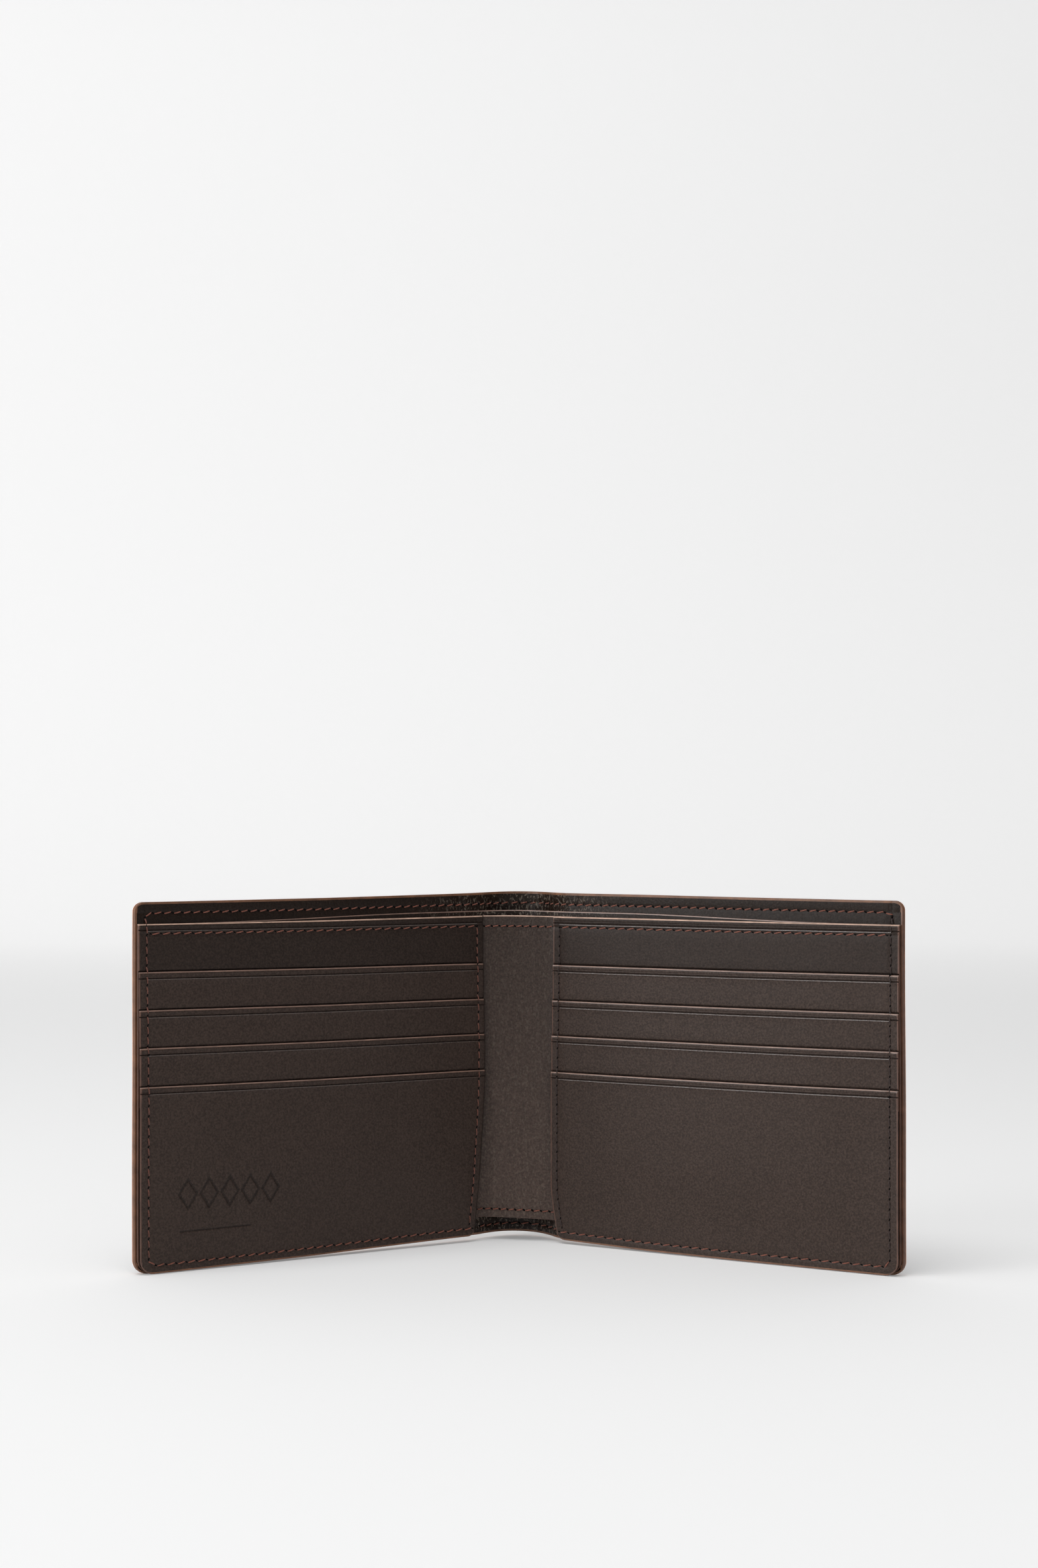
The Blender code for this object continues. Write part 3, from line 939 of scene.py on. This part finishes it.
def ornament(a, z):
    """Pressed row of plain diamonds over a thin bar."""
    half_width, half_height = DIAMOND_HALVES
    slope = math.hypot(1 / half_width, 1 / half_height)
    outside = np.maximum(np.abs(a - BAR_MIDDLE) - BAR_HALF, 0.0)
    pressed = dent(np.hypot(outside, z - BAR_HEIGHT), 0.26 * MM, 0.16 * MM)
    for k in range(DIAMOND_COUNT):
        across = np.abs(a - DIAMOND_START - k * DIAMOND_STEP) / half_width
        away = (across + np.abs(z - DIAMOND_HEIGHT) / half_height - 1) / slope
        pressed = np.minimum(pressed, dent(away, 0.30 * MM, 0.20 * MM))
    return pressed


# Numbers of the further materials on the front of a panel's layer: painted glint on the lip under the crease,
# painted shade, edge paint at the foot and painted shadow in the slot's mouth
LIP, PAINTED_SHADE, FOOT, SHADOW = 3, 4, 5, 6


def panel_grid(floor, top, next_top, rounded, decorated):
    """Columns and rows of a layer of a card panel."""
    columns = [PANEL_PAINT, PANEL_WIDTH - PANEL_PAINT, *groove_lines(SIDE_MARGIN), *groove_lines(INNER_ROW)]
    rows = [floor + FOOT_PAINT, *groove_lines(BOTTOM_MARGIN), *groove_lines(PANEL_ROW)]
    rows += [top - CREASE_DROP + k * 0.06 * MM for k in range(-12, 8)]
    rows += [top - k * 0.1 * MM for k in range(3, 12)]
    if rounded:
        columns += corner_lines(CORNER_RADIUS) + [PANEL_WIDTH - v for v in corner_lines(INNER_CORNER_RADIUS)]
    if decorated:
        columns += [ORNAMENT_START[0] + k * ORNAMENT_STEP for k in range(ORNAMENT_LINES[0])]
        rows += [ORNAMENT_START[1] + k * ORNAMENT_STEP for k in range(ORNAMENT_LINES[1])]
        rows += [BAR_HEIGHT + k * 0.12 * MM for k in range(-5, 6)]
    if next_top:
        rows += [next_top + k * 0.08 * MM for k in range(-2, 9)]
    a_lines = edged_lines(0.0, PANEL_WIDTH, THIN_RIM, THIN_RIM, columns, LINE_STEP)
    return a_lines, edged_lines(floor, top, THIN_RIM, POCKET_TOP_RIM, rows, LINE_STEP)


def build_panel_layer(name, side, layer, floor, top, next_top, material, top_edge=raw_edge):
    """Backing or pocket of a card panel. next_top is the edge of the pocket in front of it."""
    rounded = floor < 1 * MM
    decorated = name == "tall_pocket" and side == "left"
    a_lines, z_lines = panel_grid(floor, top, next_top, rounded, decorated)

    def relief(a, z):
        shape = sunk(panel_rows(a, z)) + crease(top - z)
        if next_top:
            shape = shape + mouth(z - next_top)
        if decorated:
            shape = shape + ornament(a, z)
        return shape

    def zones(a, z):
        # Painted glint on the lip under the crease
        lip = (np.abs(top - z - LIP_DROP) < LIP_REACH) & (a > SIDE_MARGIN) & (a < INNER_ROW)
        zone = np.where(lip, LIP, 0)
        # Painted shade in the crease, along the left panel's inner edge and in the ornament's deep recesses
        zone = np.where(np.abs(top - z - CREASE_DROP) < CREASE_REACH, PAINTED_SHADE, zone)
        if next_top:
            zone = np.where((z > next_top) & (z < next_top + MOUTH_REACH), SHADOW, zone)
        if side == "left":
            zone = np.where(a > PANEL_WIDTH - PANEL_PAINT, PAINTED_SHADE, zone)
        if decorated:
            zone = np.where(ornament(a, z) < -PRESSED_DEPTH, PAINTED_SHADE, zone)
        return np.where((z < floor + FOOT_PAINT) & rounded, FOOT, zone)

    materials = [material, panel_edge, top_edge, painted_glint_leather, painted_shade_leather, cover_edge, slot_shadow]
    corners = (CORNER_RADIUS, 0.0, INNER_CORNER_RADIUS) if rounded else ()
    item = sheet(f"{name}_{side}", side, flat_half(side), a_lines, z_lines,
                 layer_faces(layer, True, relief), materials, corners, THIN_RIM, POCKET_TOP_RIM,
                 paint=PANEL_PAINT, zones=zones)
    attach(item, f"{side}_half")
    return item


BACKING_FLOOR = 0.2 * MM
FRONT_POCKET_FLOOR = 0.15 * MM


def build_panel(side):
    backing = build_panel_layer("backing", side, "backing", BACKING_FLOOR, PANEL_TOP, POCKET_TOPS[0],
                                shaded_backing_leather, bridge_edge_painted_highlight)
    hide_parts(f"card_backing_{side}")
    for number, (top, next_top) in enumerate(zip(POCKET_TOPS, POCKET_TOPS[1:]), start=1):
        floor = next_top - POCKET_OVERLAP
        pocket = build_panel_layer(f"stepped_pocket_{number}", side, f"pocket_{number}", floor, top, next_top,
                                   pocket_leather)
        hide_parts(f"card_pocket_{number}_{side}")
        build_fabric(side, number, floor)
    pocket = build_panel_layer("tall_pocket", side, "pocket_4", FRONT_POCKET_FLOOR, POCKET_TOPS[-1], None,
                               pocket_leather)
    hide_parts(f"front_pocket_{side}")


FABRIC_INSET = 5.0 * MM
FABRIC_STEP = 5.0 * MM
FABRIC_THICKNESS = 0.12 * MM


def build_fabric(side, number, strip_floor):
    """Fabric that hangs behind a stepped pocket down to its floor."""
    a_lines = grid_lines(FABRIC_INSET, PANEL_WIDTH - FABRIC_INSET, [], FABRIC_STEP)
    z_lines = grid_lines(POCKET_FLOORS[number - 1], strip_floor - 0.3 * MM, [], FABRIC_STEP)

    def faces(a, z):
        front = layer_front(f"pocket_{number}", a, z, True) - 0.1 * MM
        return front - FABRIC_THICKNESS, front

    fabric = sheet(f"fabric_{number}_{side}", side, flat_half(side), a_lines, z_lines, faces,
                   [fabric_material, fabric_material], (), 0.04 * MM)
    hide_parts(f"pocket_lining_{number}_{side}")
    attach(fabric, f"{side}_half")


# ---- stitching

STITCH_RINGS = 11
STITCH_SIDES = 8
STITCH_DIVE = -0.34 * MM
STITCH_RISE = 0.50 * MM
HOLE_SIDES = 10
HOLE_LENGTH = 0.50 * MM
HOLE_WIDTH = 0.26 * MM
HOLE_SLANT = math.radians(-38)
LEVEL_SLANT = math.radians(13)
UPRIGHT_SLANT = math.radians(7)


def stitch_points(start, end, normal):
    """Rings of one stitch: a twisted thread that dives into the leather at both ends."""
    along = end - start
    across = unit(np.cross(normal, along))
    share = np.linspace(0, 1, STITCH_RINGS)
    arch = np.sin(np.pi * share)
    rise = STITCH_DIVE + STITCH_RISE * arch**0.45
    centres = start + along * share[:, None] + normal * rise[:, None]
    up = np.cross(unit(np.gradient(centres, axis=0)), across)
    angle = np.linspace(0, 2 * np.pi, STITCH_SIDES, endpoint=False)
    twist = 1 + 0.10 * np.cos(2 * angle + 11 * share[:, None])
    radius = THREAD_RADIUS * twist * (0.8 + 0.2 * arch**0.5)[:, None]
    rings = across * np.cos(angle)[:, None] + up[:, None, :] * np.sin(angle)[:, None]
    return (centres[:, None, :] + rings * radius[..., None]).reshape(-1, 3)


def hole_points(centre, along, normal):
    """Thin dark lens, painted shade that reads as the shadowed awl slit between two stitches."""
    direction = along * math.cos(HOLE_SLANT) + np.cross(normal, along) * math.sin(HOLE_SLANT)
    other = np.cross(normal, direction)
    angle = np.linspace(0, 2 * np.pi, HOLE_SIDES, endpoint=False)[:, None]
    rim = centre + HOLE_LENGTH * np.cos(angle) * direction + HOLE_WIDTH * np.sin(angle) * other
    top, bottom = centre + 0.05 * MM * normal, centre - 0.12 * MM * normal
    return np.concatenate([rim - 0.02 * MM * normal, [top, bottom]])


def neighbours(first, count):
    """Pairs of neighbours around a ring of points."""
    return [(first + k, first + (k + 1) % count) for k in range(count)]


LAST_RING = (STITCH_RINGS - 1) * STITCH_SIDES
STITCH_FACES = [
    (a, b, b + STITCH_SIDES, a + STITCH_SIDES)
    for first in range(0, LAST_RING, STITCH_SIDES) for a, b in neighbours(first, STITCH_SIDES)
]
STITCH_FACES += [tuple(reversed(range(STITCH_SIDES))), tuple(range(LAST_RING, LAST_RING + STITCH_SIDES))]
HOLE_FACES = [
    face for a, b in neighbours(0, HOLE_SIDES) for face in ((a, b, HOLE_SIDES), (b, a, HOLE_SIDES + 1))
]


def row_path(place, depth_at, corners, outside):
    """Dense points and outward normals of a seam line through the (a, z) corners on a face."""
    corners = np.array(corners)
    lengths = travelled(corners)
    even = np.linspace(0, lengths[-1], max(8, int(lengths[-1] / (0.25 * MM))))
    a, z = sampled(even, lengths, corners).T
    depth = depth_at(a, z)
    points = place(a, z, depth)
    step = -0.1 * MM if outside else 0.1 * MM
    return points, unit(place(a, z, depth + step) - points)


def seam(name, place, rows, slant, wanted_pitch, look=thread):
    """One object with every stitch and needle hole of its rows. rows: (corners, depth function, outside)."""
    points, faces, indices = [], [], []
    total = 0
    for corners, depth_at, outside in rows:
        line, normals = row_path(place, depth_at, corners, outside)
        distance = travelled(line)
        count = max(1, round(distance[-1] / wanted_pitch))
        pitch = distance[-1] / count
        half = pitch * STITCH_SHARE / 2
        stitches = [((k + 0.5) * pitch, STITCH_FACES) for k in range(count)]
        holes = [(k * pitch, HOLE_FACES) for k in range(count + 1)]
        for centre, shape in stitches + holes:
            start, end = sampled(centre - half, distance, line), sampled(centre + half, distance, line)
            normal = unit(sampled(centre, distance, normals))
            along = unit(end - start)
            if shape is STITCH_FACES:
                tilt = np.cross(normal, along) * math.tan(slant) * half
                points.append(stitch_points(start - tilt, end + tilt, normal))
            else:
                points.append(hole_points(sampled(centre, distance, line), along, normal))
            faces += [tuple(total + k for k in face) for face in shape]
            indices += [int(shape is HOLE_FACES)] * len(shape)
            total += len(points[-1])
    item = make_object(name, np.concatenate(points), faces, [look, hole_shade_material], indices)
    return item


def arc_corner(centre_a, centre_z, radius, first, last):
    """Corners of a quarter turn of a seam, between two angles in degrees."""
    turns = np.radians(np.linspace(first, last, 7))
    return [(centre_a + radius * math.cos(t), centre_z + radius * math.sin(t)) for t in turns]


# Depth of a seam line below the face it lies on
SEAM_DEPTH = 0.08 * MM
SPINE_SEAM_DEPTH = 0.06 * MM
SHOWN_LAYERS = ("backing", "pocket_1", "pocket_2", "pocket_3", "pocket_4")


def face_depth(a, z):
    """Depth of the face that shows on a half."""
    depth = np.where(z < DIVIDER_TOP, layer_front("divider", a, z, False), layer_front("lining", a, z, False))
    for layer, top in zip(SHOWN_LAYERS, (PANEL_TOP, *POCKET_TOPS)):
        depth = np.where(z < top, layer_front(layer, a, z, True), depth)
    return depth - SEAM_DEPTH


def lining_face(a, z):
    return layer_front("lining", a, z, False) - SPINE_SEAM_DEPTH


def wall_face(a, z):
    return layer_front("wall", a, z, False) - SPINE_SEAM_DEPTH


def outer_face(a, z):
    return np.zeros_like(a) + SEAM_DEPTH


LOWER_TURN = 1.6 * MM
UPPER_TURN = 1.0 * MM
HEM_ROW = BRIDGE_FLOOR + HEM_MARGIN - HEM_DROP


def build_seams(side):
    panel = flat_half(side)
    cover = along_curve(cover_line, side)
    wall = along_curve(wall_line, side, WALL_BOW)
    turned_row = COVER_ROW - UPPER_TURN
    upper = arc_corner(COVER_SIDE_MARGIN + UPPER_TURN, turned_row, UPPER_TURN, 180, 90)
    lower = arc_corner(SIDE_MARGIN + LOWER_TURN, BOTTOM_MARGIN + LOWER_TURN, LOWER_TURN, 180, 270)
    cover_end = cover_line.length[side]
    cover_start = cover_end - cover_line.past_panel(side)
    wall_end = wall_line.length[side]
    wall_start = wall_end - wall_line.past_panel(side) + 0.3 * MM
    cover_top = upper + [(cover_end, COVER_ROW)]
    outer = [(SIDE_MARGIN, BOTTOM_MARGIN + LOWER_TURN), (SIDE_MARGIN, turned_row)]
    bottom = lower + [(PANEL_WIDTH - 0.8 * MM, BOTTOM_MARGIN)]
    spine_bottom = [(cover_start, BOTTOM_MARGIN), (cover_end, BOTTOM_MARGIN)]
    inner = [(INNER_ROW, BOTTOM_MARGIN + 1.2 * MM), (INNER_ROW, PANEL_ROW)]
    panel_top = [(SIDE_MARGIN + 1.0 * MM, PANEL_ROW), (INNER_ROW - 0.4 * MM, PANEL_ROW)]
    bridge_top = [(wall_start, PANEL_ROW), (wall_end, PANEL_ROW)]
    hem = [(wall_start - 0.6 * FLARE[side], HEM_ROW), (wall_end, HEM_ROW)]
    level = (LEVEL_SLANT, LEVEL_PITCH)
    upright = (UPRIGHT_SLANT, UPRIGHT_PITCH, shaded_upright_thread[side])
    seams = (
        ("cover_top", cover, [cover_top], lining_face, True, (LEVEL_SLANT, COVER_TOP_PITCH),
         [f"cover_top_seam_{side}", "spine_top_seam"]),
        ("side", panel, [outer], face_depth, True, upright, [f"side_seam_{side}"]),
        ("bottom", panel, [bottom], face_depth, True, level, [f"bottom_seam_{side}"]),
        ("spine_bottom", cover, [spine_bottom], lining_face, True, level, ["spine_bottom_seam"]),
        ("panel_inner", panel, [inner], face_depth, False, upright, [f"inner_seam_{side}"]),
        ("panel_top", panel, [panel_top], face_depth, False, level, [f"panel_top_seam_{side}"]),
        ("bridge", wall, [bridge_top, hem], wall_face, False, (LEVEL_SLANT, BRIDGE_PITCH),
         ["bridge_top_seam", "bridge_hem_seam"]),
    )
    for name, place, paths, face, through, style, replaced in seams:
        rows = [(path, face, False) for path in paths]
        if through:
            rows += [(path, outer_face, True) for path in paths]
        item = seam(f"{name}_stitches_{side}", place, rows, *style)
        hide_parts(*replaced)
        if place is panel:
            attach(item, f"{side}_half")
        elif place is cover:
            bend_with(item, side)
        else:
            bend_with(item, side)


for half_side in SIGNS:
    build_cover(half_side)
    build_board(half_side)
    build_divider(half_side)
    build_wall(half_side)
    build_panel(half_side)
    build_seams(half_side)


# ---- floor, light and camera

FLOOR_NEAR, FLOOR_FAR, FLOOR_HALF_WIDTH = -4.0, 3.0, 6.0
BEND_RADIUS, BEND_STEPS, WALL_HEIGHT = 1.2, 12, 4.0
FLOOR_GREY = grey(0.71)
WHITE = grey(1.0)


def build_stage():
    """Seamless pale sweep of floor, bend and back wall that glows as painted light, brighter towards the back
    and the left.
    """
    profile = [(FLOOR_NEAR, 0.0), (FLOOR_FAR - BEND_RADIUS, 0.0)]
    for step in range(1, BEND_STEPS + 1):
        angle = math.radians(90 * step / BEND_STEPS)
        across = BEND_RADIUS * math.sin(angle)
        profile.append((FLOOR_FAR - BEND_RADIUS + across, BEND_RADIUS - BEND_RADIUS * math.cos(angle)))
    profile.append((FLOOR_FAR, WALL_HEIGHT))
    points = [(x, y, z) for y, z in profile for x in (-FLOOR_HALF_WIDTH, FLOOR_HALF_WIDTH)]
    faces = [(2 * k, 2 * k + 1, 2 * k + 3, 2 * k + 2) for k in range(len(profile) - 1)]
    nodes = Nodes(bpy.data.materials.new("floor"))
    glow = nodes.graded(nodes.axis("Y"), 0.1, FLOOR_FAR, 0.18, 0.54)
    slope = nodes.graded(nodes.axis("X"), -1.0, 1.0, 1.12, 0.88, "LINEAR")
    light = {"Emission Color": WHITE, "Emission Strength": nodes.math("MULTIPLY", glow, slope)}
    material = finish(nodes, FLOOR_GREY, 0.85, **{SPECULAR: 0.1, **light})
    floor = make_object("floor", points, faces, [material])


def area_light(name, location, target, size, power):
    data = bpy.data.lights.new(name, "AREA")
    data.shape = "DISK"
    data.size = size
    data.energy = power
    item = bpy.data.objects.new(name, data)
    bpy.context.scene.collection.objects.link(item)
    item.location = location
    item.rotation_euler = (Vector(target) - Vector(location)).to_track_quat("-Z", "Y").to_euler()


def build_light():
    """White sky, dim at the horizon and brighter above, and three round lamps."""
    world = bpy.data.worlds.new("studio")
    bpy.context.scene.world = world
    nodes = Nodes(world, "Generated")
    sky = nodes.graded(nodes.axis("Z"), 0.0, 0.8, 0.06, 0.45)
    nodes.feed(nodes.tree.nodes["Background"], {"Color": WHITE, "Strength": sky})
    centre = (0.0, 0.0, 0.05)
    area_light("key", (-1.3, -0.64, 0.36), centre, 0.8, 8.5)
    area_light("top", (-0.25, -0.35, 1.35), centre, 1.0, 10.0)
    area_light("fill", (0.4, -1.3, 0.5), centre, 0.9, 1.0)


CAMERA_DISTANCE = 697.1 * MM
CAMERA_ASIDE = -3.6 * MM
CAMERA_HEIGHT = 108.8 * MM
CAMERA_TILT = math.radians(90.93)
CAMERA_TURN = math.radians(-0.335)


def build_camera():
    """In front of the wallet, a little above its top, looking back and slightly up."""
    data = bpy.data.cameras.new("camera")
    data.sensor_width = 36.0
    data.lens = 60.52
    data.clip_start = 0.01
    data.clip_end = 20.0
    camera = bpy.data.objects.new("camera", data)
    bpy.context.scene.collection.objects.link(camera)
    camera.location = (MIDDLE[0] + CAMERA_ASIDE, MIDDLE[1] - CAMERA_DISTANCE, CAMERA_HEIGHT)
    camera.rotation_euler = (CAMERA_TILT, 0.0, CAMERA_TURN)
    bpy.context.scene.camera = camera


build_stage()
build_light()
build_camera()
bpy.context.scene.view_settings.view_transform = "Standard"
